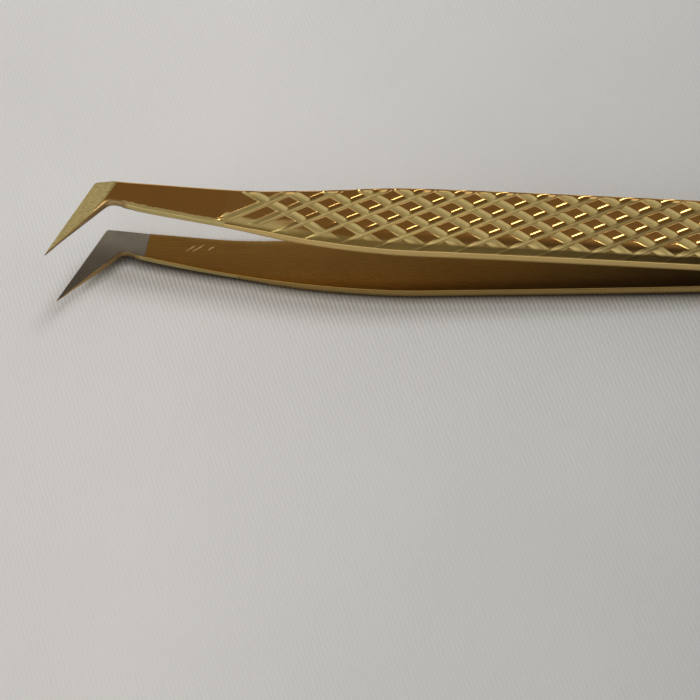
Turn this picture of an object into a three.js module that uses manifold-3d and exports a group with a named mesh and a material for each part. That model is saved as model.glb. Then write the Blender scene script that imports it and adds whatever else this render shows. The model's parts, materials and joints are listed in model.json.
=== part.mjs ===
// Precision tweezers with fine points bent to one side: two sprung steel blades,
// each with a diamond-cut grip, spot-welded together at the rear.
//
// Lengths are millimetres. The model is drawn with x running back from the points,
// y across the blades and z = 0 on the plane midway between them. The last group
// moves the origin to the bottom centre of the whole object.

import * as THREE from 'three';
import Module from 'manifold-3d';
import { mergeVertices } from 'three/addons/utils/BufferGeometryUtils.js';

const wasm = await Module();
wasm.setup();

// ---------------------------------------------------------------- driving dimensions

const LENGTH = 132;            // points to rear end
const FLEXURE_X = 108;         // where each blade bends when it is squeezed
const FLEXURE_GAP = 0.16;      // clearance between the moving blade and its welded tang
const WELD_GAP = 0.03;         // from the middle plane to a tang's inner face

const HALF_GRIP = 5.0;         // half the width of the grip
const HALF_FLEXURE = 4.6;      // half the width at the flexure
const HALF_REAR = 3.6;         // half the width of the rear end
const REAR_CORNER = 2.2;       // corner radius of the rear end
const TANG_THICKNESS = 1.15;

// Blade as [x, value] stations, joined by a smooth curve.
const INNER_FACE = [[0, 4.05], [12, 4.17], [22, 4.22], [32, 3.63], [42, 3.19], [55, 2.64],
  [70, 1.9], [88, 0.96], [100, 0.4], [FLEXURE_X, 0.05]];
const THICKNESS = [[0, 0.95], [12, 0.95], [22, 0.82], [25, 0.9], [30, 1.34], [35, 1.53],
  [40, 1.55], [98, 1.55], [FLEXURE_X, TANG_THICKNESS]];
const NEAR_EDGE = [[7, 1.72], [12, 0.35], [22, -1.84], [32, -3.83], [42, -4.9], [50, -HALF_GRIP],
  [98, -HALF_GRIP], [FLEXURE_X, -HALF_FLEXURE]];
const FAR_EDGE = [[4.2, 5.35], [12, 4.65], [22, 3.93], [32, 3.95], [42, 4.85], [50, HALF_GRIP],
  [98, HALF_GRIP], [FLEXURE_X, HALF_FLEXURE]];

// Bent point: pairs of [x, y] on its inside edge and its outside edge, from the tip back.
const POINT_PAIRS = [
  [[0.3, -6.6], [0, -6.7]],
  [[3.1, -2.75], [1.9, -1.35]],
  [[5.3, 0.15], [3.6, 3.4]],
  [[6.0, 1.0], [4.15, 5.4]],
  [[7.1, 1.66], [6.3, 5.2]],
];
const SHAFT_START = 8.4;       // first straight station behind the bend

// Facet ground on the outside of the point: three [x, y, height over the inner face].
const FACET = [[4.23, 5.25, 0.3], [0, -6.7, 0.24], [6.2, 1.9, 1.0]];

// Profile of the near edge: the upright rim ends `drop` below the top, a ledge leads in
// from it to `ledge`, and from there the surface climbs to reach the top at `climb`.
const SHAFT_EDGE = { drop: 0.15, ledgeDrop: 0.08, ledge: 0.25, climb: 0.55 };
const GRIP_EDGE = { drop: 0.52, ledgeDrop: 0.5, ledge: 0.9, climb: 1.4 };
const GRIP_EDGE_START = [21.4, 24];     // where the one turns into the other
const GRIP_EDGE_END = [98, FLEXURE_X];
const FAR_BEVEL = { drop: 0.5, inset: 0.75 };

// Diamond grip: two families of V grooves that cross on a regular lattice.
const PITCH_X = 5.05;
const PITCH_Y = 3.177;
const FIRST_CROSSING = { x: 26.66, y: 1.98 };
const CROSSINGS = 14;          // pitches from the first crossing to the last
const GROOVE_FAMILIES = [{ sign: 1, depth: 0.47 }, { sign: -1, depth: 0.42 }];
const GROOVE_HALF_WIDTH = 0.55;
const GROOVE_REACH = 7.5;      // how far a cutter reaches across to either side
const GROOVE_CLEAR = 0.6;      // how far a cutter stands above the surface

// Grit layer on the inside of each point.
const GRIT_END = 9.75;
const GRIT_THICKNESS = 0.1;
const GRIT_GAP = 0.02;

const WELD_X = [113, 119.5, 126];
const WELD_RADIUS = 1.4;
const WELD_CLEARANCE = 0.05;
const WELD_RECESS = 0.12;      // how far a weld's end lies below the tang's outer face
const WELD_SIDES = 24;
const HOLE_REACH = 3;          // how far a hole's cutter stands out on either side

const STATION_STEP = 4;        // spacing of the cross-sections along a blade
const CLEAN_UP = 0.004;        // edges shorter than this are merged after cutting

// ---------------------------------------------------------------- small helpers

// Height of a smooth curve through [x, value] stations, level beyond both ends.
function along(stations, x) {
  const last = stations.length - 1;
  if (x <= stations[0][0]) return stations[0][1];
  if (x >= stations[last][0]) return stations[last][1];
  let i = 0;
  while (x > stations[i + 1][0]) i += 1;
  const slopeAt = (k) => {
    const a = stations[Math.max(k - 1, 0)];
    const b = stations[Math.min(k + 1, last)];
    return (b[1] - a[1]) / (b[0] - a[0]);
  };
  const span = stations[i + 1][0] - stations[i][0];
  const t = (x - stations[i][0]) / span;
  const rise = stations[i + 1][1] - stations[i][1];
  const s0 = slopeAt(i) * span;
  const s1 = slopeAt(i + 1) * span;
  return stations[i][1] + t * (s0 + t * ((3 * rise - 2 * s0 - s1) + t * (s0 + s1 - 2 * rise)));
}

function geometryOf(positions, index) {
  const geometry = new THREE.BufferGeometry();
  geometry.setAttribute('position', new THREE.Float32BufferAttribute(positions, 3));
  geometry.setIndex(index);
  return geometry;
}

// Closed solid through rings of the same number of corners. Each ring runs
// clockwise seen from the ring before it.
function loft(rings) {
  const corners = rings[0].length;
  const index = [];
  const quad = (a, b, c, d) => index.push(a, b, c, a, c, d);
  for (let r = 0; r + 1 < rings.length; r += 1) {
    for (let k = 0; k < corners; k += 1) {
      const next = (k + 1) % corners;
      quad(r * corners + k, r * corners + next, (r + 1) * corners + next, (r + 1) * corners + k);
    }
  }
  const lastRing = (rings.length - 1) * corners;
  for (let k = 1; k + 1 < corners; k += 1) {
    index.push(0, k + 1, k);
    index.push(lastRing, lastRing + k, lastRing + k + 1);
  }
  return geometryOf(rings.flat().flatMap((p) => [p.x, p.y, p.z]), index);
}

function solidOf(geometry) {
  const bare = geometry.clone();
  bare.deleteAttribute('normal');
  bare.deleteAttribute('uv');
  const merged = mergeVertices(bare, 1e-5);
  return new wasm.Manifold(new wasm.Mesh({
    numProp: 3,
    vertProperties: Float32Array.from(merged.attributes.position.array),
    triVerts: Uint32Array.from(merged.index.array),
  }));
}

function geometryFrom(solid) {
  const mesh = solid.getMesh();
  return geometryOf(Array.from(mesh.vertProperties), Array.from(mesh.triVerts));
}

// The same geometry reflected in the middle plane between the blades.
function reflected(geometry) {
  const copy = geometry.clone().applyMatrix4(new THREE.Matrix4().makeScale(1, 1, -1));
  const index = Array.from(copy.index.array);
  for (let i = 0; i < index.length; i += 3) {
    [index[i], index[i + 1]] = [index[i + 1], index[i]];
  }
  copy.setIndex(index);
  return copy;
}

// ---------------------------------------------------------------- blade sections

const innerFace = (x) => along(INNER_FACE, x);
const thickness = (x) => along(THICKNESS, x);

// Blade section between a near and a far edge point: flat inner face, upright rims, a
// plain bevel on the far side and the given edge profile on the near side.
function bladeRing(near, far, edge, { faceAt = innerFace, thickAt = thickness, lift = 0 } = {}) {
  const width = near.distanceTo(far);
  const across = far.clone().sub(near).normalize();
  const inFrom = (distance) => near.clone().addScaledVector(across, distance);
  const corner = (p, height) => new THREE.Vector3(p.x, p.y, faceAt(p.x) + height);
  const under = (p, drop) => corner(p, thickAt(p.x) - drop);
  const ledge = inFrom(Math.min(edge.ledge, width * 0.2));
  const topNear = inFrom(Math.min(edge.climb, width * 0.5));
  const topFar = inFrom(width - Math.min(FAR_BEVEL.inset, width * 0.2));
  return [
    corner(near, lift),
    corner(far, lift),
    under(far, FAR_BEVEL.drop),
    under(topFar, 0),
    under(topNear, 0),
    under(ledge, edge.ledgeDrop),
    under(near, edge.drop),
  ];
}

// Near edge profile at x: that of the smooth shaft, of the grip or between the two.
function edgeAt(x) {
  const started = THREE.MathUtils.smoothstep(x, ...GRIP_EDGE_START);
  const ended = THREE.MathUtils.smoothstep(x, ...GRIP_EDGE_END);
  const mixed = (key) => THREE.MathUtils.lerp(SHAFT_EDGE[key], GRIP_EDGE[key], started - ended);
  return Object.fromEntries(Object.keys(SHAFT_EDGE).map((key) => [key, mixed(key)]));
}

function straightStations() {
  const end = FLEXURE_X - FLEXURE_GAP / 2;
  const stations = [SHAFT_START, GRIT_END, GRIT_END + GRIT_GAP, 13, 17, ...GRIP_EDGE_START];
  for (let x = GRIP_EDGE_START[1] + STATION_STEP; x < end - 1; x += STATION_STEP) stations.push(x);
  return [...stations, end];
}

const pointPairs = () => POINT_PAIRS.map((pair) => pair.map(([x, y]) => new THREE.Vector2(x, y)));

const shaftPair = (x) => [
  new THREE.Vector2(x, along(NEAR_EDGE, x)),
  new THREE.Vector2(x, along(FAR_EDGE, x)),
];

// The inner face is set back over the point, where the grit layer lies.
function bladeBlank() {
  const setBack = GRIT_THICKNESS + GRIT_GAP;
  const rings = pointPairs().map(([near, far]) => bladeRing(near, far, SHAFT_EDGE, { lift: setBack }));
  for (const x of straightStations()) {
    const lift = x > GRIT_END ? 0 : setBack;
    rings.push(bladeRing(...shaftPair(x), edgeAt(x), { lift }));
  }
  return solidOf(loft(rings));
}

// ---------------------------------------------------------------- cuts in the blade

// Slab whose lower side lies on the ground facet of the point.
function facetCutter() {
  const [a, b, c] = FACET.map(([x, y, height]) => new THREE.Vector3(x, y, innerFace(x) + height));
  const normal = b.clone().sub(a).cross(c.clone().sub(a)).normalize();
  const reach = 40;
  const depth = 8;
  const slab = new THREE.BoxGeometry(reach, reach, depth);
  const turn = new THREE.Quaternion().setFromUnitVectors(new THREE.Vector3(0, 0, 1), normal);
  const centre = a.clone().addScaledVector(normal, depth / 2);
  slab.applyMatrix4(new THREE.Matrix4().compose(centre, turn, new THREE.Vector3(1, 1, 1)));
  return solidOf(slab);
}

// V-shaped bar along one groove through (x, y), leaning to one side or the other.
function grooveCutter(x, y, { sign, depth }) {
  const slope = (sign * PITCH_Y) / PITCH_X;
  const direction = new THREE.Vector2(1, slope).normalize();
  const side = new THREE.Vector2(-direction.y, direction.x);
  const flare = GROOVE_HALF_WIDTH * (1 + GROOVE_CLEAR / depth);
  const rings = [-GROOVE_REACH, -GROOVE_REACH / 3, GROOVE_REACH / 3, GROOVE_REACH].map((reach) => {
    const px = x + reach / slope * sign;
    const py = y + reach * sign;
    const top = innerFace(px) + thickness(px);
    const corner = (offset, height) => new THREE.Vector3(
      px + side.x * offset,
      py + side.y * offset,
      top + height,
    );
    return [corner(0, -depth), corner(flare, GROOVE_CLEAR), corner(-flare, GROOVE_CLEAR)];
  });
  return solidOf(loft(rings));
}

function gripCutters() {
  const cutters = [];
  for (let i = 0; i <= CROSSINGS; i += 1) {
    const x = FIRST_CROSSING.x + i * PITCH_X;
    for (const family of GROOVE_FAMILIES) cutters.push(grooveCutter(x, FIRST_CROSSING.y, family));
  }
  return cutters;
}

// Grit layer on the inside of the point.
function gritGeometry() {
  const pairs = [...pointPairs(), shaftPair(SHAFT_START), shaftPair(GRIT_END - GRIT_GAP)];
  return loft(pairs.map(([near, far]) => {
    const corner = (p, height) => new THREE.Vector3(p.x, p.y, innerFace(p.x) + height);
    return [corner(near, 0), corner(far, 0), corner(far, GRIT_THICKNESS), corner(near, GRIT_THICKNESS)];
  }));
}

function bladeGeometry() {
  const cut = [facetCutter(), ...gripCutters()].reduce(
    (solid, cutter) => solid.subtract(cutter),
    bladeBlank(),
  );
  return geometryFrom(cut.simplify(CLEAN_UP));
}

// ---------------------------------------------------------------- rear end

function tangGeometry() {
  const start = FLEXURE_X + FLEXURE_GAP / 2;
  const cornerStart = LENGTH - REAR_CORNER;
  const stations = [start, 114, 120, cornerStart];
  const cornerSteps = 4;
  for (let i = 1; i <= cornerSteps; i += 1) {
    stations.push(cornerStart + REAR_CORNER * Math.sin((i / cornerSteps) * Math.PI / 2));
  }
  const halfWidth = (x) => {
    const t = (x - FLEXURE_X) / (LENGTH - FLEXURE_X);
    const straight = THREE.MathUtils.lerp(HALF_FLEXURE, HALF_REAR, t);
    const past = Math.max(x - cornerStart, 0) / REAR_CORNER;
    return straight - REAR_CORNER * (1 - Math.sqrt(Math.max(1 - past * past, 0)));
  };
  const flat = { faceAt: () => WELD_GAP, thickAt: () => TANG_THICKNESS };
  const rings = stations.map((x) => bladeRing(
    new THREE.Vector2(x, -halfWidth(x)),
    new THREE.Vector2(x, halfWidth(x)),
    SHAFT_EDGE,
    flat,
  ));
  const holes = WELD_X.map((x) => solidOf(holeCutter(x)));
  return geometryFrom(holes.reduce((tang, hole) => tang.subtract(hole), solidOf(loft(rings))));
}

// Upright round bar at x that cuts the hole for one weld through both tangs.
function holeCutter(x) {
  const radius = WELD_RADIUS + WELD_CLEARANCE;
  const bar = new THREE.CylinderGeometry(radius, radius, 2 * HOLE_REACH, WELD_SIDES);
  bar.rotateX(Math.PI / 2);
  bar.translate(x, 0, 0);
  return bar;
}

// Weld nugget with softened ends.
function nuggetGeometry(x) {
  const reach = WELD_GAP + TANG_THICKNESS - WELD_RECESS;
  const soft = 0.15;
  const profile = [[0, -reach], [WELD_RADIUS - soft, -reach], [WELD_RADIUS, soft - reach],
    [WELD_RADIUS, reach - soft], [WELD_RADIUS - soft, reach], [0, reach]];
  const nugget = new THREE.LatheGeometry(profile.map(([r, z]) => new THREE.Vector2(r, z)), WELD_SIDES);
  nugget.rotateX(Math.PI / 2);
  nugget.translate(x, 0, 0);
  return nugget;
}

// ---------------------------------------------------------------- assembly

const gold = () => new THREE.MeshStandardMaterial({ color: 0xa98a4a, roughness: 0.35, metalness: 1 });
const grit = () => new THREE.MeshStandardMaterial({ color: 0x6b6355, roughness: 0.8, metalness: 0.6 });
const weldSteel = () => new THREE.MeshStandardMaterial({ color: 0x93753c, roughness: 0.5, metalness: 1 });

function node(name, geometry, material) {
  const mesh = new THREE.Mesh(geometry, material);
  mesh.name = name;
  return mesh;
}

const tweezers = new THREE.Group();
const blade = bladeGeometry();
const tang = tangGeometry();
const layer = gritGeometry();
for (const [side, place] of [['upper', (g) => g], ['lower', reflected]]) {
  tweezers.add(node(`${side}_blade`, place(blade), gold()));
  tweezers.add(node(`${side}_tang`, place(tang), gold()));
  tweezers.add(node(`${side}_tip_grit`, place(layer), grit()));
}
WELD_X.forEach((x, i) => tweezers.add(node(`spot_weld_${i + 1}`, nuggetGeometry(x), weldSteel())));

// Origin at the bottom centre of the box that holds everything.
const box = new THREE.Box3().setFromObject(tweezers);
const centre = box.getCenter(new THREE.Vector3());
tweezers.position.set(-centre.x, -centre.y, -box.min.z);

const model = new THREE.Group();
model.add(tweezers);

export default model;
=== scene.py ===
import json
import math

import bpy
import numpy as np
from mathutils import Matrix, Vector

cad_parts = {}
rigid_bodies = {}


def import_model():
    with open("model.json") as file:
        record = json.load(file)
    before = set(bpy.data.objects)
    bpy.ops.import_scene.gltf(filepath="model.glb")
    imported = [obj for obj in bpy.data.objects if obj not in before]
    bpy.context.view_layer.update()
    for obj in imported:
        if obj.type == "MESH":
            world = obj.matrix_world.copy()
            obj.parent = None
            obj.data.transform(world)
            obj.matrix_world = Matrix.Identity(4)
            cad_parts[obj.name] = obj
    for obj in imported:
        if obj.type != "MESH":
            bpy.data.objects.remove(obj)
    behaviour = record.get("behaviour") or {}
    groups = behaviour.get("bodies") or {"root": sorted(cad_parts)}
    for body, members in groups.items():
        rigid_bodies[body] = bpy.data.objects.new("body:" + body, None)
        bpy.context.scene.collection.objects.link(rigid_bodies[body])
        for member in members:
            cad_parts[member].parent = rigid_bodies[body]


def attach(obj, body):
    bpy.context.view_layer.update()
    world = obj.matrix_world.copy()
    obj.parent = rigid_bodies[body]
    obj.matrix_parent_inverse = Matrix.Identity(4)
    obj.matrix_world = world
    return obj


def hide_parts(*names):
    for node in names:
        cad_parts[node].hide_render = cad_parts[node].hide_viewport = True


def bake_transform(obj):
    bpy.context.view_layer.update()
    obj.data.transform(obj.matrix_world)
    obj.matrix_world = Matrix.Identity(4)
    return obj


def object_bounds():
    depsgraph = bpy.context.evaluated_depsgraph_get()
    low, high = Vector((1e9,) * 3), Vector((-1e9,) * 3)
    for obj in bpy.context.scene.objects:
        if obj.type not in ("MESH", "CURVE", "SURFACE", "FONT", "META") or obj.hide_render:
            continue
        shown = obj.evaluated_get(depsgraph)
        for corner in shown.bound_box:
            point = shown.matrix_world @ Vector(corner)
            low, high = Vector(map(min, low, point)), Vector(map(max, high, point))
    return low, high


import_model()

# Gold eyelash tweezers with fine points bent to one side. The two sprung blades are
# each one continuous skin from the point to the rear end, with a diamond-cut grip.
#
# Lengths are millimetres in the blade frame until to_frame() makes them metres:
# x runs back from the points, y across the blades, z = 0 midway between the blades.

CAD_LOW, CAD_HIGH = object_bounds()

MM = 0.001
LENGTH = 132.0                  # points to rear end
TIP_Y = -6.7                    # the points are the part's near side


def to_frame(points):
    """Blade frame in millimetres to the CAD frame in metres."""
    middle = (CAD_LOW.z + CAD_HIGH.z) / 2
    points = np.asarray(points, float)
    return points * MM + np.array([CAD_LOW.x, CAD_LOW.y - TIP_Y * MM, middle])


# ---------------------------------------------------------------- blade dimensions

# [x, value] stations, joined by a smooth curve.
INNER_FACE = [[0, 4.05], [12, 4.17], [22, 4.22], [32, 3.63], [42, 3.19], [55, 2.64],
              [70, 1.9], [88, 0.96], [100, 0.4], [108, 0.05], [110, 0.03], [132, 0.03]]
THICKNESS = [[0, 0.95], [12, 0.95], [22, 0.82], [25, 0.9], [30, 1.34], [35, 1.53],
             [40, 1.55], [98, 1.55], [108, 1.15], [132, 1.15]]
NEAR_EDGE = [[7, 1.72], [12, 0.35], [22, -1.84], [32, -3.83], [42, -4.9], [50, -5],
             [98, -5], [108, -4.6], [132, -3.6]]
FAR_EDGE = [[4.2, 5.35], [12, 4.65], [22, 3.93], [32, 3.95], [42, 4.85], [50, 5],
            [98, 5], [108, 4.6], [132, 3.6]]
RIM = [[0, 0.85], [12, 0.8], [21, 0.67], [23, 0.74], [28, 1.0], [40, 1.03], [96, 1.03],
       [104, 0.95], [132, 0.95]]   # height of the upright rim over the inner face
REAR_CORNER = 2.2

# Bent point: corners of its inside and outside edges, from the tip back, each with
# the radius that rounds it.
FOOT_INSIDE = [[0.12, -6.62, 0], [1.54, -4.6, 9], [6.7, 1.9, 1.3], [8.4, 1.45, 0]]
FOOT_OUTSIDE = [[0.0, -6.7, 0], [4.15, 5.4, 0.35], [8.4, 4.97, 0]]
SHAFT_START = 8.4
FACET = [[4.23, 5.25, 0.3], [0, -6.7, 0.24], [6.2, 1.9, 1.0]]   # x, y, height over the inner face
TIP_TAPER = 1.2                 # the last stretch of the point thins down over this
TIP_THICKNESS = 0.45            # what is left of the thickness at its very end

SHAFT_BEVEL = 0.55              # width of the bevel along the smooth shaft
BEVEL_END = 21.4                # where it stops in a small step

# Diamond grip: two families of flat-bottomed grooves on a regular lattice.
PITCH_X = 5.05
PITCH_Y = 3.177
FIRST_CROSSING = (26.66, 1.98)
CROSSINGS = 14
GROOVES = [{"sign": 1, "floor": 0.21, "depth": 0.46, "slope": 1.3, "chamfer": 0.23},
           {"sign": -1, "floor": 0.14, "depth": 0.45, "slope": 0.95, "chamfer": 0.14}]
# "floor" is half the floor's width, "slope" that of the walls
CHAMFER_SLOPE = 0.22            # of the burnished edge along each groove
CHAMFER_START = [25, 35]        # the burnished edges grow over this stretch
SHOULDER = {"flat": 1.4, "gentle": 0.02, "steep": 0.34, "ease": 0.6}   # along the grip's near edge
FAR_BEVEL = {"drop": 0.12, "width": 0.25}
INSET = 0.005                   # the outer face lies this much lower, inside the CAD's box
RUN_OUT = 0.6                   # the grooves fade out over this distance from the far edge
UNDER_RIM = 0.5                 # how far under the near rim's height a groove may reach; this
UNDER_RIM_SPAN = [0.5, 1.5]     # grows from 0 between these distances from the near edge
ROUNDING = {"floor": 0.12, "chamfer": 0.03, "mouth": 0.05, "bevel": 0.03, "shoulder": 0.15,
            "far_bevel": 0.04, "facet": 0.03}   # widths over which the creases are rounded
GRIT_END = 9.75
GRIT_SET_BACK = 0.12            # the inner face is set back under the grit layer

EDGE_ROUND = 0.09               # radius that breaks the blade's long edges
INNER_ROUND = 0.05              # the same for the edges of the inner face
WELD_X = [113, 119.5, 126]
WELD_RADIUS = 1.4
WELD_CLEARANCE = 0.05
WELD_REACH = 1.06               # from the middle plane to the end of a weld
WELD_END = [[0, 0.06], [0.3, 0.06], [0.6, 0.055], [0.85, 0.03], [1.0, 0.005], [1.1, 0],
            [1.2, 0.01], [1.3, 0.05], [WELD_RADIUS, 0.15]]   # radius, depth under the raised ring
DRILL_REACH = 3.0               # from the middle plane, past either blade
LATHE_SIDES = 64
GRIT_THICKNESS = 0.1
GRIT_MARGIN = 0.015             # share of the width left bare at each edge
GRIT_ROWS = 11


# ---------------------------------------------------------------- small helpers

def along(stations, x):
    """Heights of a smooth curve through [x, value] stations, level beyond both ends."""
    xs, values = np.array(stations, float).T
    slopes = np.empty_like(values)
    slopes[1:-1] = (values[2:] - values[:-2]) / (xs[2:] - xs[:-2])
    slopes[0] = (values[1] - values[0]) / (xs[1] - xs[0])
    slopes[-1] = (values[-1] - values[-2]) / (xs[-1] - xs[-2])
    x = np.clip(x, xs[0], xs[-1])
    i = np.clip(np.searchsorted(xs, x) - 1, 0, len(xs) - 2)
    span = xs[i + 1] - xs[i]
    t = (x - xs[i]) / span
    rise = values[i + 1] - values[i]
    s0, s1 = slopes[i] * span, slopes[i + 1] * span
    return values[i] + t * (s0 + t * ((3 * rise - 2 * s0 - s1) + t * (s0 + s1 - 2 * rise)))


def smooth_min(a, b, width):
    """The lower of two heights, with the crease between them rounded."""
    h = np.clip(0.5 + 0.5 * (b - a) / width, 0, 1)
    return b * (1 - h) + a * h - width * h * (1 - h)


def smooth_step(a, b, x):
    t = np.clip((x - a) / (b - a), 0, 1)
    return t * t * (3 - 2 * t)


def rounded_path(corners, step):
    """Points along straight edges whose corners are rounded by arcs: [x, y, radius]."""
    points = [np.array(corners[0][:2], float)]
    for before, (cx, cy, radius), after in zip(corners, corners[1:], corners[2:]):
        corner = np.array([cx, cy])
        back = np.array(before[:2]) - corner
        ahead = np.array(after[:2]) - corner
        back /= np.linalg.norm(back)
        ahead /= np.linalg.norm(ahead)
        half = math.acos(float(np.clip(back @ ahead, -1, 1))) / 2
        reach = radius / math.tan(half)
        start, end = corner + back * reach, corner + ahead * reach
        steps = max(2, int(radius * (math.pi - 2 * half) / step) + 1)
        for k in range(steps + 1):
            t = k / steps
            points.append((1 - t) ** 2 * start + 2 * t * (1 - t) * corner + t * t * end)
    points.append(np.array(corners[-1][:2], float))
    return np.array(points)


def resample(path, fractions):
    lengths = np.concatenate([[0], np.cumsum(np.linalg.norm(np.diff(path, axis=0), axis=1))])
    at = np.asarray(fractions) * lengths[-1]
    return np.stack([np.interp(at, lengths, path[:, 0]), np.interp(at, lengths, path[:, 1])], 1)


# ---------------------------------------------------------------- blade surface

def half_rear(x):
    """How much the rounded rear corners take off the half width at x."""
    past = np.clip(x - (LENGTH - REAR_CORNER), 0, REAR_CORNER) / REAR_CORNER
    return REAR_CORNER * (1 - np.sqrt(1 - past ** 2))


def near_edge(x):
    return along(NEAR_EDGE, x) + half_rear(x)


def far_edge(x):
    return along(FAR_EDGE, x) - half_rear(x)


def groove_surface(x, y, groove):
    """Height over the flat top that one family of grooves leaves, and distance past its floor."""
    sign = groove["sign"]
    offset = (y - FIRST_CROSSING[1]) - sign * PITCH_Y / PITCH_X * (x - FIRST_CROSSING[0])
    nearest = np.clip(np.round(-sign * offset / PITCH_Y), 0, CROSSINGS)
    upright = math.cos(math.atan(PITCH_Y / PITCH_X))
    away = np.abs(offset + sign * nearest * PITCH_Y) * upright
    mouth = groove["floor"] + groove["depth"] / groove["slope"]
    wall = (away - mouth) * groove["slope"]
    cut = -smooth_min(groove["depth"] + 0 * away, -wall, ROUNDING["floor"])
    chamfer = groove["chamfer"] * smooth_step(*CHAMFER_START, x)
    edge = smooth_min(0 * away, (away - mouth - chamfer) * CHAMFER_SLOPE, ROUNDING["chamfer"])
    return smooth_min(edge, cut, ROUNDING["mouth"]), away - groove["floor"]


def on_grip(x):
    """0 on the smooth shaft and 1 on the grip."""
    return smooth_step(BEVEL_END, BEVEL_END + 0.25, x)


def near_shoulder(x, distance):
    """Height over the inner face of the bevel or shoulder along the near edge."""
    s = SHOULDER
    past = np.maximum(distance - s["flat"] + s["ease"] / 2, 0)
    ramp = s["gentle"] * distance + s["steep"] * past ** 2 / (past + s["ease"])
    rim = along(RIM, x)
    bevel = rim + (along(THICKNESS, x) - rim) * distance / SHAFT_BEVEL
    return on_grip(x) * (rim + ramp) + (1 - on_grip(x)) * bevel


def far_bevel(x, distance):
    """Height over the inner face of the narrow bevel along the far edge."""
    top = along(THICKNESS, x)
    return top - FAR_BEVEL["drop"] * (1 - distance / FAR_BEVEL["width"])


def facet_surface(x, y):
    """Height over the inner face of the ground facet on the outside of the point."""
    a, b, c = np.array(FACET, float)
    normal = np.cross(b - a, c - a)
    return a[2] - (normal[0] * (x - a[0]) + normal[1] * (y - a[1])) / normal[2]


def outer_height(x, y, near_distance, far_distance):
    """Thickness of the blade at (x, y), given the distances to its two long edges."""
    cut = np.minimum(*(groove_surface(x, y, groove)[0] for groove in GROOVES))
    flat = along(THICKNESS, x) - INSET
    under_rim = UNDER_RIM * smooth_step(*UNDER_RIM_SPAN, near_distance)
    deepest = np.minimum(along(RIM, x) - flat - under_rim, 0)
    top = flat + np.maximum(cut * smooth_step(0, RUN_OUT, far_distance), deepest)
    near_rounding = ROUNDING["bevel"] + (ROUNDING["shoulder"] - ROUNDING["bevel"]) * on_grip(x)
    top = smooth_min(top, near_shoulder(x, near_distance), near_rounding)
    top = smooth_min(top, far_bevel(x, far_distance), ROUNDING["far_bevel"])
    return smooth_min(top, facet_surface(x, y), ROUNDING["facet"])


# ---------------------------------------------------------------- blade mesh

ARC = np.radians([0, 30, 60, 90])
EDGE_OUT = 1 - np.cos(ARC)      # steps across a rounded edge, in radii
INNER_ROWS = 7
LATTICE_STEPS = 36              # mesh steps per lattice pitch
STEPS_BEFORE = 30               # lattice columns in front of the first crossing
STEPS_AFTER = 24                # and behind the last one
STEP_X = PITCH_X / LATTICE_STEPS
STEP_Y = PITCH_Y / LATTICE_STEPS


def foot_stations():
    """Near and far edge points of the bent point, from the tip to the shaft."""
    inside = rounded_path(FOOT_INSIDE, 0.1)
    outside = rounded_path(FOOT_OUTSIDE, 0.1)
    fractions = np.concatenate([np.linspace(0, 0.05, 5)[:-1], np.linspace(0.05, 1, 62)])[:-1]
    return resample(inside, fractions), resample(outside, fractions)


def straight_columns():
    """x of each mesh column from the shaft to the rear end."""
    first = FIRST_CROSSING[0] - STEPS_BEFORE * STEP_X
    last = FIRST_CROSSING[0] + (CROSSINGS * LATTICE_STEPS + STEPS_AFTER) * STEP_X
    grit = np.linspace(SHAFT_START, GRIT_END - 0.005, 6)
    shaft = np.linspace(GRIT_END + 0.005, first, 44)[:-1]
    grip = np.arange(first, last, STEP_X)
    welds = np.linspace(last, LENGTH - REAR_CORNER, 70)
    corner = LENGTH - REAR_CORNER + REAR_CORNER * np.sin(np.linspace(0, math.pi / 2, 12))[1:]
    return np.concatenate([grit, shaft, grip, welds, corner])


def column_rows(near, far):
    """y of each outer row in one column: rounded edges, and lattice rows between them."""
    radius = EDGE_ROUND
    margin = radius + 0.5 * STEP_Y
    first = math.ceil((near + margin - FIRST_CROSSING[1]) / STEP_Y)
    last = math.floor((far - margin - FIRST_CROSSING[1]) / STEP_Y)
    rows = FIRST_CROSSING[1] + np.arange(first, last + 1) * STEP_Y
    y = np.concatenate([near + EDGE_OUT * radius, rows, far - EDGE_OUT[::-1] * radius])
    return first, last, y


def rounded_drop(distance, radius):
    """How far a rounded edge lies below the surface, at a distance in from the edge."""
    inside = np.clip(1 - distance / radius, 0, 1)
    return radius * (1 - np.sqrt(1 - inside ** 2))


def ring(near, far, outer_points, near_distance, far_distance, tip_scale=1.0, set_back=0.0):
    """One closed section: outer rows near to far, far wall, inner rows back, near wall."""
    x, y = outer_points[:, 0], outer_points[:, 1]
    radius = EDGE_ROUND * tip_scale
    height = outer_height(x, y, near_distance, far_distance) * tip_scale
    drop = rounded_drop(np.minimum(near_distance, far_distance), radius)
    outer = np.column_stack([x, y, along(INNER_FACE, x) + height - drop])
    width = np.linalg.norm(far - near)
    inner_radius = min(INNER_ROUND * tip_scale, 0.2 * width)
    arc = EDGE_OUT * inner_radius / width
    flat = np.linspace(arc[-1], 1 - arc[-1], INNER_ROWS)[1:-1]
    fractions = np.concatenate([arc, flat, 1 - arc[::-1]])
    points = near + fractions[:, None] * (far - near)
    distance = np.minimum(fractions, 1 - fractions) * width
    inner_z = along(INNER_FACE, points[:, 0]) + set_back + rounded_drop(distance, inner_radius)
    inner = np.column_stack([points, inner_z])[::-1]

    def wall(a, b):
        return [a + (b - a) * t for t in (1 / 3, 2 / 3)]

    return np.vstack([outer, wall(outer[-1], inner[0]), inner, wall(inner[-1], outer[0])])


def thinning(near):
    """Share of the thickness that is left near the tip."""
    tip = math.hypot(near[0], near[1] - TIP_Y)
    return TIP_THICKNESS + (1 - TIP_THICKNESS) * float(smooth_step(0, TIP_TAPER, tip))


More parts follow.
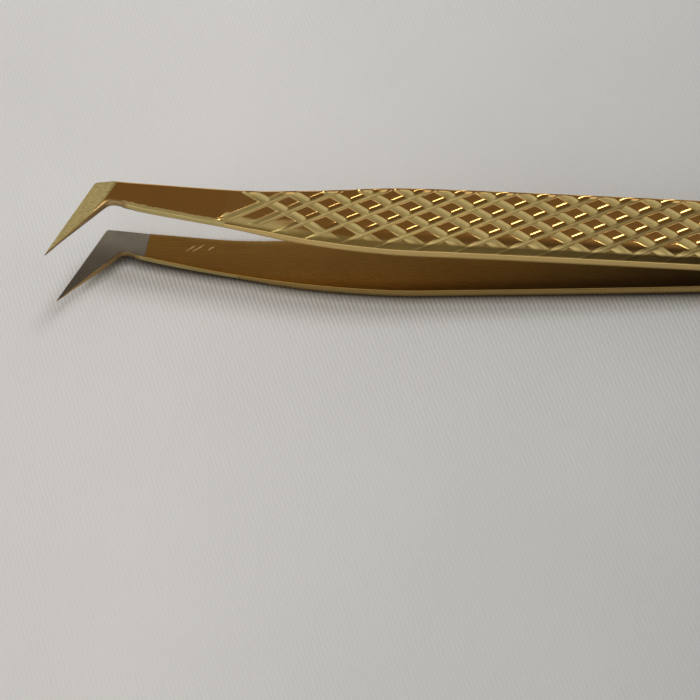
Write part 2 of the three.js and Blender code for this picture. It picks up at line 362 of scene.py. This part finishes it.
def foot_columns(count):
    """Rings over the bent point, each with count rows between its rounded edges."""
    columns = []
    for near, far in zip(*foot_stations()):
        width = np.linalg.norm(far - near)
        scale = min(1.0, width / 1.5)
        radius = min(EDGE_ROUND * scale, 0.3 * width)
        arc = EDGE_OUT * radius / width
        inner = np.linspace(arc[-1], 1 - arc[-1], count + 2)[1:-1]
        fractions = np.concatenate([arc, inner, 1 - arc[::-1]])
        points = near + fractions[:, None] * (far - near)
        thin = thinning(near)
        columns.append((ring(near, far, points, fractions * width, (1 - fractions) * width, thin,
                             GRIT_SET_BACK * thin), 0, count - 1))
    return columns


def blade_mesh():
    """Vertices and faces of the upper blade's skin, in the blade frame."""
    straight = straight_columns()
    first, last, _ = column_rows(near_edge(straight[0]), far_edge(straight[0]))
    columns = foot_columns(last - first + 1)
    for x in straight:
        near, far = near_edge(x), far_edge(x)
        first_row, last_row, y = column_rows(near, far)
        points = np.column_stack([np.full(len(y), x), y])
        set_back = GRIT_SET_BACK if x < GRIT_END else 0.0
        section = ring(np.array([x, near]), np.array([x, far]), points, y - near, far - y,
                       set_back=set_back)
        columns.append((section, first_row - first, last_row - first))
    return stitch(columns, len(ARC))


def stitch(columns, edge):
    """Joins closed rings whose outer rows start and end at different lattice rows."""
    starts = np.concatenate([[0], np.cumsum([len(c[0]) for c in columns])])
    vertices = np.vstack([c[0] for c in columns])
    faces = []
    for c in range(len(columns) - 1):
        a, b = starts[c], starts[c + 1]
        (ring_a, low_a, high_a), (ring_b, low_b, high_b) = columns[c], columns[c + 1]
        rows_a, rows_b = high_a - low_a + 1, high_b - low_b + 1

        def quads(i, j, n):
            """n quads between rows i.. of this ring and rows j.. of the next."""
            k = np.arange(n)
            return np.column_stack([a + i + k, b + j + k, b + j + k + 1, a + i + k + 1]).tolist()

        faces += quads(0, 0, edge - 1)
        low, high = max(low_a, low_b), min(high_a, high_b)
        faces += quads(edge + low - low_a, edge + low - low_b, high - low)
        near_a, near_b = a + edge - 1, b + edge - 1
        here = list(range(edge, edge + low - low_a + 1))
        there = list(range(edge, edge + low - low_b + 1))
        faces += strip([near_a] + [a + k for k in here], [near_b] + [b + k for k in there])
        far_a, far_b = a + edge + rows_a, b + edge + rows_b
        here = [far_a - 1 - k for k in range(high_a - high + 1)]
        there = [far_b - 1 - k for k in range(high_b - high + 1)]
        faces += [f[::-1] for f in strip([far_a] + here, [far_b] + there)]
        rest_a, rest_b = edge + rows_a, edge + rows_b
        rest = len(ring_a) - rest_a
        faces += quads(rest_a, rest_b, rest - 1)
        faces.append([a + len(ring_a) - 1, b + len(ring_b) - 1, b, a])
    faces.append(list(range(len(columns[0][0]))))
    end = starts[-2]
    faces.append([end + k for k in range(len(columns[-1][0]))][::-1])
    return vertices, faces


def strip(a, b):
    """Fills the band between two columns of vertices that start level and end level."""
    if len(a) == len(b):
        return [[a[i], b[i], b[i + 1], a[i + 1]] for i in range(len(a) - 1)]
    if len(a) > len(b):
        fan = [[a[i], b[0], a[i + 1]] for i in range(len(a) - 2)]
        return fan + [[a[-2], b[0], b[1], a[-1]]]
    fan = [[b[i + 1], a[0], b[i]] for i in range(len(b) - 2)]
    return fan + [[b[-1], a[1], a[0], b[-2]]]


def new_object(name, vertices, faces):
    mesh = bpy.data.meshes.new(name)
    mesh.from_pydata(to_frame(vertices).tolist(), [], faces)
    mesh.validate()
    mesh.polygons.foreach_set("use_smooth", [True] * len(mesh.polygons))
    shape = bpy.data.objects.new(name, mesh)
    bpy.context.scene.collection.objects.link(shape)
    return shape


def mirrored(vertices, faces):
    return vertices * np.array([1, 1, -1]), [f[::-1] for f in faces]


def float_attribute(shape, name, values):
    attribute = shape.data.attributes.new(name, "FLOAT", "POINT")
    attribute.data.foreach_set("value", np.asarray(values, np.float32))


# ---------------------------------------------------------------- where each finish and painted shade lies

# Each mask goes from 0 to 1, or back, between the two values of its span.
# Along x:
FIRST_GROOVES = [25, 34]        # in front of it both walls of every groove are matte
POLISHED_LIPS = [28, 42]        # the matte draws back from the grooves' lips and the near edge
REAR_SHADE_SPAN = [22, 88]            # painted shade on the inner face and the shoulder grows towards the rear
FLOOR_SHADE_SPAN = [48, 76]      # painted shade also grows on the floors of the first family of grooves
FOOT_WALL_SPAN = [8.6, 9.2]     # the walls of the bent point end
FACET_END = 10.0
SIDE_START = 9.0
# Distance from the near edge:
LEDGE_SPAN = [1.0, 1.7]         # the shoulder's tint ends
LAST_ROW_SPAN = [1.9, 2.7]      # the shoulder's painted shade ends, past the last row of studs
BEVEL_SPAN = [SHAFT_BEVEL - 0.35, SHAFT_BEVEL + 0.25]
MATTE_FADE = 1.0                # the grooves' matte comes in over this width
SIDE_REACH = 0.12               # the side walls' finish reaches this far over either edge
FAR_STRIP = 0.3                 # strip along the far edge that stays polished
# Distance past a groove's floor:
FLOOR_SPAN = [0.1, 0.3]         # the first family's floors end
WALL_SPAN = [0.34, 0.46]        # the second family's lower walls end
# Depth below the flat top:
FLOOR_DEPTH = [0.28, 0.4]
FIRST_GROOVES_DEPTH = [-0.01, 0.04]
# Height over the inner face:
OUTSIDE = 0.2                   # vertices above it are on the outside
INSIDE = 0.15                   # and those below it on the inner face


def groove_masks(x, y, below, near):
    """Masks of the grooves' matte parts and of the first family's floors, by depth below the top."""
    past_first, past_second = (groove_surface(x, y, family)[1] for family in GROOVES)
    floor = smooth_step(*FLOOR_DEPTH, below) * (1 - smooth_step(*FLOOR_SPAN, past_first))
    drawn_back = smooth_step(*POLISHED_LIPS, x)
    lip = 0.04 * drawn_back - 0.01
    wall = smooth_step(lip, lip + 0.07, below) * (1 - smooth_step(*WALL_SPAN, past_second))
    front = smooth_step(*FIRST_GROOVES_DEPTH, below) * (1 - smooth_step(*FIRST_GROOVES, x))
    rim = 0.1 + 0.8 * drawn_back
    inside = smooth_step(rim, rim + MATTE_FADE, near)
    return np.maximum(floor, np.maximum(wall, front)) * inside, floor * inside


def point_masks(x, y, height):
    """The ground facet of the bent point, and its walls, which lie lower than the facet."""
    facet_height = facet_surface(x, y)
    facet = smooth_step(-0.06, -0.01, height - facet_height) * (x < FACET_END)
    sunk = np.minimum(along(THICKNESS, x), facet_height) - height
    wall = smooth_step(0.03, 0.08, sunk) * (height > 0.14) * (1 - smooth_step(*FOOT_WALL_SPAN, x))
    return facet, wall


def surface_masks(vertices):
    """How much of each finish and painted shade lies on each vertex, by the names in FINISHES_AND_SHADE.
    """
    x, y, z = vertices.T
    height = np.abs(z) - along(INNER_FACE, x)
    near, far = y - near_edge(x), far_edge(x) - y
    outside, inner = height > OUTSIDE, (height < INSIDE) * 1.0
    groove, floor = groove_masks(x, y, along(THICKNESS, x) - INSET - height, near)
    grooved = outside * (far > FAR_STRIP)
    ledge = on_grip(x) * outside * smooth_step(0, SIDE_REACH, near)
    painted_rear_shade = smooth_step(*REAR_SHADE_SPAN, x)
    bevel = 1 - smooth_step(*BEVEL_SPAN, near)
    bevel *= 1 - smooth_step(BEVEL_END + 0.3, BEVEL_END + 0.6, x)
    facet, foot_wall = point_masks(x, y, height)
    return {"side": (1 - smooth_step(0, SIDE_REACH, np.minimum(near, far))) * (x > SIDE_START),
            "inner": inner,
            "painted_rear_shade": inner * painted_rear_shade,
            "shoulder": (1 - smooth_step(*LEDGE_SPAN, near)) * ledge,
            "painted_shoulder_shade": (1 - smooth_step(*LAST_ROW_SPAN, near)) * ledge * painted_rear_shade,
            "groove": groove * grooved * (x > BEVEL_END),
            "painted_floor_shade": floor * grooved * smooth_step(*FLOOR_SHADE_SPAN, x),
            "bevel": bevel * outside * (x > SHAFT_START),
            "facet": facet,
            "foot_wall": foot_wall}


# ---------------------------------------------------------------- materials

class Nodes:
    """Short calls for building one node tree."""

    def __init__(self, tree):
        self.tree = tree
        tree.nodes.clear()

    def add(self, kind, inputs=(), **settings):
        node = self.tree.nodes.new(kind)
        for name, value in settings.items():
            setattr(node, name, value)
        for name, value in dict(inputs).items():
            if isinstance(value, bpy.types.NodeSocket):
                self.tree.links.new(value, node.inputs[name])
            else:
                node.inputs[name].default_value = value
        return node

    def math(self, operation, a, b=0.0, clamp=False):
        return self.add("ShaderNodeMath", {0: a, 1: b}, operation=operation, use_clamp=clamp).outputs[0]

    def ramp(self, value, low, high, to_low=0.0, to_high=1.0):
        made = self.add("ShaderNodeMapRange", {"Value": value, "From Min": low, "From Max": high,
                                               "To Min": to_low, "To Max": to_high})
        return made.outputs[0]

    def mix(self, factor, a, b):
        node = self.add("ShaderNodeMix", data_type="RGBA")
        for index, value in ((0, factor), (6, a), (7, b)):
            if isinstance(value, bpy.types.NodeSocket):
                self.tree.links.new(value, node.inputs[index])
            else:
                node.inputs[index].default_value = value
        return node.outputs[2]

    def noise(self, vector, scale, detail=3.0, roughness=0.5):
        made = self.add("ShaderNodeTexNoise", {"Vector": vector, "Scale": scale, "Detail": detail,
                                               "Roughness": roughness})
        return made.outputs[0]

    def place(self, vector, scale):
        return self.add("ShaderNodeVectorMath", {0: vector, 1: scale}, operation="MULTIPLY").outputs[0]


def new_material(name):
    material = bpy.data.materials.new(name)
    material.use_nodes = True
    return material, Nodes(material.node_tree)


def finish_material(nodes, color, roughness, height, strength, distance, **sockets):
    bump = nodes.add("ShaderNodeBump", {"Strength": strength, "Distance": distance, "Height": height})
    shader = nodes.add("ShaderNodeBsdfPrincipled", {
        "Base Color": color, "Roughness": roughness, "Normal": bump.outputs[0], **sockets})
    nodes.add("ShaderNodeOutputMaterial", {"Surface": shader.outputs[0]})


POLISHED_GOLD = (0.58, 0.355, 0.115, 1)
MATTE_GOLD = (0.53, 0.43, 0.183, 1)
FINISHES_AND_SHADE = [   # mask, colour, and what it adds to the roughness; later ones lie over earlier ones
    ("side", (0.66, 0.47, 0.185, 1), 0.02),
    # the inner face's own brushed finish, its colour also lowered as painted shade for where it lies
    # under the other blade
    ("inner", (0.45, 0.275, 0.075, 1), 0.12),
    # painted shade: the inner face darkens towards the rear, where it lies in shade between the blades
    ("painted_rear_shade", (0.26, 0.175, 0.062, 1), 0.02),
    ("shoulder", (0.47, 0.37, 0.13, 1), 0.12),
    # painted shade: a near-black tint on the near shoulder, growing towards the rear and running on over
    # the tang
    ("painted_shoulder_shade", (0.045, 0.028, 0.009, 1), 0.0),
    ("groove", MATTE_GOLD, 0.4),
    # painted shade: the first family's groove floors darken towards the rear
    ("painted_floor_shade", (0.27, 0.205, 0.08, 1), 0.0),
    ("bevel", MATTE_GOLD, 0.35),
    ("facet", (0.50, 0.40, 0.155, 1), 0.3),
    # the point's ground walls: the added roughness is their grinding, and the darker brown is a painted
    # reflection of the shaded cloth beside them
    ("foot_wall", (0.40, 0.27, 0.12, 1), 0.25),
]
SCUFF_GOLD = (0.75, 0.6, 0.32, 1)
SCUFFS = [[15.3, 2.5, 0.9], [16.3, 2.6, 1.1], [17.9, 2.6, 0.6]]   # x, y, length on the lower inner face
SCUFF_ANGLE = 0.75
SCUFF_WIDTH = 0.13


def scuff_mask(n, place):
    """Short rubbed strokes on the lower blade's inner face."""
    mask = 0.0
    for x, y, length in SCUFFS:
        centre = to_frame([x, y, -along(INNER_FACE, x)])
        local = n.add("ShaderNodeMapping", {
            "Vector": place, "Location": centre, "Rotation": (0, 0, SCUFF_ANGLE),
            "Scale": (length * MM, SCUFF_WIDTH * MM, 0.3 * MM)}, vector_type="TEXTURE").outputs[0]
        away = n.add("ShaderNodeVectorMath", {0: local}, operation="LENGTH").outputs["Value"]
        mask = n.math("ADD", mask, n.ramp(away, 0.6, 1.0, 1.0, 0.0))
    streaks = n.noise(n.place(place, (3000, 12000, 100)), 1.0, 2.0)
    return n.math("MULTIPLY", mask, n.ramp(streaks, 0.35, 0.6), clamp=True)


def gold_material(name, scuffed=False):
    """Gold-coated steel: polished and brushed on the faces, matte in the grooves, with painted shade
    laid into the colour.
    """
    material, n = new_material(name)
    place = n.add("ShaderNodeTexCoord").outputs["Object"]
    masks = {key: n.add("ShaderNodeAttribute", attribute_name=key).outputs["Fac"]
             for key, _, _ in FINISHES_AND_SHADE}
    brushing = n.noise(n.place(place, (120, 9000, 9000)), 1.0, 4.0, 0.6)
    cloudy = n.noise(place, 260.0, 3.0)
    fine = n.noise(place, 9000.0, 2.0)
    ragged = n.noise(n.place(place, (1500, 5000, 5000)), 1.0, 3.0)
    masks["bevel"] = n.ramp(n.math("ADD", masks["bevel"], n.math("MULTIPLY", ragged, 0.8)), 0.85, 0.95)
    color, roughness = POLISHED_GOLD, n.ramp(brushing, 0.3, 0.7, 0.13, 0.19)
    for key, tint, rougher in FINISHES_AND_SHADE:
        color = n.mix(masks[key], color, tint)
        roughness = n.math("ADD", roughness, n.math("MULTIPLY", masks[key], rougher))
    if scuffed:
        scuff = scuff_mask(n, place)
        color = n.mix(scuff, color, SCUFF_GOLD)
        roughness = n.math("ADD", roughness, n.math("MULTIPLY", scuff, 0.3))
    tone = n.ramp(cloudy, 0.3, 0.7, 0.96, 1.03)
    ground = n.math("MULTIPLY", masks["facet"], n.ramp(ragged, 0.3, 0.7, -0.22, 0.22))
    tone = n.math("ADD", tone, ground)
    shade = n.add("ShaderNodeVectorMath", {0: color, "Scale": tone}, operation="SCALE").outputs[0]
    height = n.math("ADD", n.math("MULTIPLY", brushing, 0.7), n.math("MULTIPLY", fine, 0.5))
    finish_material(n, shade, roughness, height, 0.08, 0.000015, Metallic=1.0)
    return material


def bands(n, vector, pitch, **settings):
    """Sine stripes repeating every pitch metres along x of the vector."""
    made = n.add("ShaderNodeTexWave", {"Vector": vector, "Scale": math.pi / (10 * pitch), **settings},
                 bands_direction="X")
    return made.outputs["Fac"]


GRIT_AT_TIP = (0.12, 0.095, 0.07, 1)
GRIT_AT_HEEL = (0.24, 0.215, 0.165, 1)
HATCH_PITCH = 0.00022           # metres
HATCH_ANGLE = 0.6


def grit_material():
    """Fine cross-hatched grip texture inside the points, greyer towards the heel."""
    material, n = new_material("grit")
    place = n.add("ShaderNodeTexCoord").outputs["Object"]
    hatch = 0.0
    for angle in (HATCH_ANGLE, -HATCH_ANGLE):
        turned = n.add("ShaderNodeVectorRotate", {"Vector": place, "Angle": angle},
                       rotation_type="Z_AXIS").outputs[0]
        stripes = bands(n, turned, HATCH_PITCH, Distortion=0.6, Detail=1.0)
        hatch = n.math("ADD", hatch, n.math("MULTIPLY", stripes, 0.5))
    cloudy = n.noise(place, 600.0, 3.0)
    along_y = n.add("ShaderNodeSeparateXYZ", {0: place}).outputs[1]
    heel = n.ramp(along_y, to_frame([0, TIP_Y, 0])[1], to_frame([0, 5.0, 0])[1])
    color = n.mix(heel, GRIT_AT_TIP, GRIT_AT_HEEL)
    tone = n.math("ADD", n.ramp(cloudy, 0.3, 0.7, 0.6, 0.8), n.math("MULTIPLY", hatch, 0.55))
    shade = n.add("ShaderNodeVectorMath", {0: color, "Scale": tone}, operation="SCALE").outputs[0]
    roughness = n.ramp(hatch, 0.0, 1.0, 0.6, 0.45)
    finish_material(n, shade, roughness, hatch, 0.5, 0.00003, Metallic=0.75)
    return material


WELD_DARK = (0.32, 0.22, 0.10, 1)
WELD_LIGHT = (0.5, 0.37, 0.19, 1)


def weld_material():
    """Bare, slightly burnt weld metal."""
    material, n = new_material("weld_steel")
    place = n.add("ShaderNodeTexCoord").outputs["Object"]
    cloudy = n.noise(place, 1500.0, 4.0)
    color = n.mix(cloudy, WELD_DARK, WELD_LIGHT)
    roughness = n.ramp(cloudy, 0.3, 0.7, 0.35, 0.6)
    finish_material(n, color, roughness, cloudy, 0.5, 0.0001, Metallic=1.0)
    return material


# painted shade: the cloth's colour darkens towards the right, standing in for the light falling off
# there
CLOTH_LEFT = (0.875, 0.888, 0.892, 1)
CLOTH_RIGHT_SHADED = (0.565, 0.585, 0.587, 1)
CONTACT_SHADE_COLOR = (0.085, 0.06, 0.035, 1)
CONTACT_SHADE_REACH = 0.0015                # metres from the tweezers within which the cloth gets painted contact shade
THREAD = 0.0005                 # metres from one warp thread to the next
WARP_ANGLE = -0.42
WEFT_ANGLE = 1.15


def cloth_material():
    """Pale woven cloth, with painted shade growing to the right and painted contact shade right beside
    the tweezers.
    """
    material, n = new_material("cloth")
    place = n.add("ShaderNodeTexCoord").outputs["Object"]
    cloudy = n.noise(place, 30.0, 3.0)
    along_x = n.add("ShaderNodeSeparateXYZ", {0: place}).outputs[0]
    color = n.mix(n.ramp(along_x, -0.05, 0.045), CLOTH_LEFT, CLOTH_RIGHT_SHADED)
    turned, across = (n.add("ShaderNodeVectorRotate", {"Vector": place, "Angle": angle},
                            rotation_type="Z_AXIS").outputs[0] for angle in (WARP_ANGLE, WEFT_ANGLE))
    warp = bands(n, turned, THREAD, Distortion=1.2, Detail=2.0)
    weft = bands(n, across, THREAD * 0.8, Distortion=1.2, Detail=2.0)
    weave = n.math("ADD", n.math("MULTIPLY", warp, 0.8), n.math("MULTIPLY", weft, 0.3))
    tone = n.math("ADD", n.ramp(cloudy, 0.3, 0.7, 0.94, 0.98), n.math("MULTIPLY", weave, 0.02))
    # painted shade: ambient occlusion darkens the cloth's colour next to the tweezers, on top of their
    # real shadow
    contact_shade = n.add("ShaderNodeAmbientOcclusion", {"Distance": CONTACT_SHADE_REACH}, samples=8).outputs["AO"]
    color = n.mix(n.ramp(contact_shade, 0.45, 1.0), CONTACT_SHADE_COLOR, color)
    shade = n.add("ShaderNodeVectorMath", {0: color, "Scale": tone}, operation="SCALE").outputs[0]
    finish_material(n, shade, 0.9, weave, 0.6, 0.00005)
    return material


# ---------------------------------------------------------------- pieces

def from_frame(points):
    """The other way round from to_frame()."""
    return (np.asarray(points, float) - to_frame([0, 0, 0])) / MM


def mesh_points(mesh):
    flat = np.empty(len(mesh.vertices) * 3)
    mesh.vertices.foreach_get("co", flat)
    return flat.reshape(-1, 3)


def cut_weld_holes(blade):
    """Drills the welds' holes through one skin."""
    radius = WELD_RADIUS + WELD_CLEARANCE
    drill = bpy.data.collections.new("drill")
    for x in WELD_X:
        bit = new_object("bit", *lathe([[0, -DRILL_REACH], [radius, -DRILL_REACH],
                                        [radius, DRILL_REACH], [0, DRILL_REACH]], x))
        drill.objects.link(bit)
        bpy.context.scene.collection.objects.unlink(bit)
    bpy.context.scene.collection.children.link(drill)
    cut = blade.modifiers.new("holes", "BOOLEAN")
    cut.operand_type = "COLLECTION"
    cut.collection = drill
    cut.solver = "MANIFOLD"
    cut.operation = "DIFFERENCE"
    graph = bpy.context.evaluated_depsgraph_get()
    mesh = bpy.data.meshes.new_from_object(blade.evaluated_get(graph))
    blade.modifiers.clear()
    blade.data = mesh
    for bit in list(drill.objects):
        bpy.data.objects.remove(bit)
    bpy.data.collections.remove(drill)
    mesh.set_sharp_from_angle(angle=math.radians(60))


def make_blade(side, vertices, faces, material):
    blade = new_object(f"{side}_blade_skin", vertices, faces)
    cut_weld_holes(blade)
    for name, values in surface_masks(from_frame(mesh_points(blade.data))).items():
        float_attribute(blade, name, values)
    blade.data.materials.clear()
    blade.data.materials.append(material)
    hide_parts(f"{side}_blade", f"{side}_tang")
    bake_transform(blade)


def grit_mesh():
    """Thin layer over the inner face of the point, following the skin's outline."""
    sections = [(near, far) for near, far in zip(*foot_stations())]
    sections += [(np.array([x, near_edge(x)]), np.array([x, far_edge(x)]))
                 for x in np.linspace(SHAFT_START, GRIT_END - 0.02, 8)]
    across = np.linspace(GRIT_MARGIN, 1 - GRIT_MARGIN, GRIT_ROWS)
    rings = []
    for near, far in sections:
        points = near + across[:, None] * (far - near)
        inner = np.column_stack([points, along(INNER_FACE, points[:, 0])])
        outer = inner + np.array([0, 0, GRIT_THICKNESS * thinning(near)])
        rings.append(np.vstack([inner, outer[::-1]]))
    count = len(rings[0])
    faces = [list(range(count))[::-1]]
    for r in range(len(rings) - 1):
        for k in range(count):
            j = (k + 1) % count
            faces.append([r * count + k, r * count + j, (r + 1) * count + j, (r + 1) * count + k])
    last = (len(rings) - 1) * count
    faces.append([last + k for k in range(count)])
    return np.vstack(rings), faces


def make_grit(side, vertices, faces, material):
    layer = new_object(f"{side}_grit_layer", vertices, faces)
    layer.data.set_sharp_from_angle(angle=math.radians(40))
    layer.data.materials.append(material)
    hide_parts(f"{side}_tip_grit")
    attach(layer, side)


def lathe(profile, x):
    """Closed round body about the upright line through x: profile of [radius, z] from bottom to top."""
    rings = [p for p in profile if p[0] > 0]
    angles = np.arange(LATHE_SIDES) * 2 * math.pi / LATHE_SIDES
    vertices = [[x, 0, profile[0][1]]]
    for radius, z in rings:
        vertices += [[x + radius * math.cos(a), radius * math.sin(a), z] for a in angles]
    vertices.append([x, 0, profile[-1][1]])
    top = len(vertices) - 1
    faces = []
    for k in range(LATHE_SIDES):
        j = (k + 1) % LATHE_SIDES
        faces.append([0, 1 + j, 1 + k])
        for r in range(len(rings) - 1):
            a, b = 1 + r * LATHE_SIDES, 1 + (r + 1) * LATHE_SIDES
            faces.append([a + k, a + j, b + j, b + k])
        last = 1 + (len(rings) - 1) * LATHE_SIDES
        faces.append([top, last + k, last + j])
    return np.array(vertices, float), faces


def make_weld(number, x, material):
    """Weld nugget whose ends are slightly dished and ringed."""
    end = [[radius, WELD_REACH - depth] for radius, depth in WELD_END]
    profile = [[radius, -z] for radius, z in end] + end[::-1]
    weld = new_object(f"weld_nugget_{number}", *lathe(profile, x))
    weld.data.set_sharp_from_angle(angle=math.radians(60))
    weld.data.materials.append(material)
    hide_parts(f"spot_weld_{number}")
    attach(weld, "rear")


# ---------------------------------------------------------------- camera, floor, light

CAMERA = {"target": (39.24, -17.56, 0), "distance": 700, "azimuth": 17.99, "elevation": 46.84,
          "roll": 12.25, "lens": 300.35}


def make_camera():
    azimuth, elevation, roll = (math.radians(CAMERA[k]) for k in ("azimuth", "elevation", "roll"))
    back = Vector((math.sin(azimuth) * math.cos(elevation), -math.cos(azimuth) * math.cos(elevation),
                   math.sin(elevation)))
    right = Vector((math.cos(azimuth), math.sin(azimuth), 0))
    up = back.cross(right)
    turned_right = math.cos(roll) * right - math.sin(roll) * up
    turned_up = math.sin(roll) * right + math.cos(roll) * up
    data = bpy.data.cameras.new("camera")
    data.lens = CAMERA["lens"]
    data.sensor_width = 36
    data.clip_start, data.clip_end = 0.01, 20
    camera = bpy.data.objects.new("camera", data)
    bpy.context.scene.collection.objects.link(camera)
    place = Vector(to_frame(CAMERA["target"])) + back * CAMERA["distance"] * MM
    turn = Matrix((turned_right, turned_up, back)).transposed()
    camera.matrix_world = Matrix.Translation(place) @ turn.to_4x4()
    bpy.context.scene.camera = camera


SINK = 0.3                      # how far the tweezers press into the soft cloth
TOUCH_X = 40.0                  # where the lower blade touches it
FLOOR_SLOPE = 0.0396            # the cloth rises from there to the rear end
FLOOR_HALF = 1.5                # metres


def make_floor():
    """The cloth that the tweezers lie on, against the lower blade's outer face and the rear end."""
    under = along(INNER_FACE, TOUCH_X) + along(THICKNESS, TOUCH_X)
    touch = to_frame([TOUCH_X, 0, SINK - under])
    corners = [(touch[0] + i * FLOOR_HALF, j * FLOOR_HALF, touch[2] + i * FLOOR_HALF * FLOOR_SLOPE)
               for i, j in ((-1, -1), (1, -1), (1, 1), (-1, 1))]
    mesh = bpy.data.meshes.new("floor")
    mesh.from_pydata(corners, [], [(0, 1, 2, 3)])
    floor = bpy.data.objects.new("floor", mesh)
    bpy.context.scene.collection.objects.link(floor)
    mesh.materials.append(cloth_material())


SKY_COLOR = (1.15, 1.165, 1.185, 1)
SKY_PATCHES = [   # direction, radius of the soft edge's outside and inside in degrees, colour
    ((0.0, 0.30, 0.95), 60, 42, (0.21, 0.15, 0.095, 1)),
    ((0.60, -0.62, 0.50), 36, 24, (0.17, 0.13, 0.08, 1)),
    ((-0.681, -0.430, 0.602), 8.0, 5.5, (2.6, 2.5, 2.3, 1)),
]


def make_world():
    world = bpy.data.worlds.new("studio")
    bpy.context.scene.world = world
    world.use_nodes = True
    n = Nodes(world.node_tree)
    direction = n.add("ShaderNodeTexCoord").outputs["Generated"]
    color = SKY_COLOR
    for towards, outside, inside, patch_color in SKY_PATCHES:
        dot = n.add("ShaderNodeVectorMath", {0: direction, 1: Vector(towards).normalized()},
                    operation="DOT_PRODUCT").outputs["Value"]
        patch = n.add("ShaderNodeMapRange", {"Value": dot, "From Min": math.cos(math.radians(outside)),
                                            "From Max": math.cos(math.radians(inside))},
                     interpolation_type="SMOOTHSTEP").outputs[0]
        color = n.mix(patch, color, patch_color)
    background = n.add("ShaderNodeBackground", {"Color": color, "Strength": 1.0})
    n.add("ShaderNodeOutputWorld", {"Surface": background.outputs[0]})


def area_light(name, place, target, size, radiance):
    data = bpy.data.lights.new(name, "AREA")
    data.shape = "RECTANGLE"
    data.size, data.size_y = size
    data.energy = radiance * math.pi * size[0] * size[1]
    light = bpy.data.objects.new(name, data)
    bpy.context.scene.collection.objects.link(light)
    light.location = Vector(place)
    light.rotation_euler = (Vector(target) - Vector(place)).to_track_quat("-Z", "Y").to_euler()


# ---------------------------------------------------------------- build

make_camera()
make_world()
area_light("overhead", place=(0.066, 0.175, 0.465), target=(0, 0, 0), size=(0.105, 0.155), radiance=11.0)
make_floor()

skin = blade_mesh()
layer = grit_mesh()
grit = grit_material()
make_blade("upper", *skin, gold_material("brushed_gold"))
make_blade("lower", *mirrored(*skin), gold_material("scuffed_gold", scuffed=True))
make_grit("upper", *layer, grit)
make_grit("lower", *mirrored(*layer), grit)
weld = weld_material()
for number, x in enumerate(WELD_X, 1):
    make_weld(number, x, weld)

bpy.context.scene.view_settings.view_transform = "Standard"
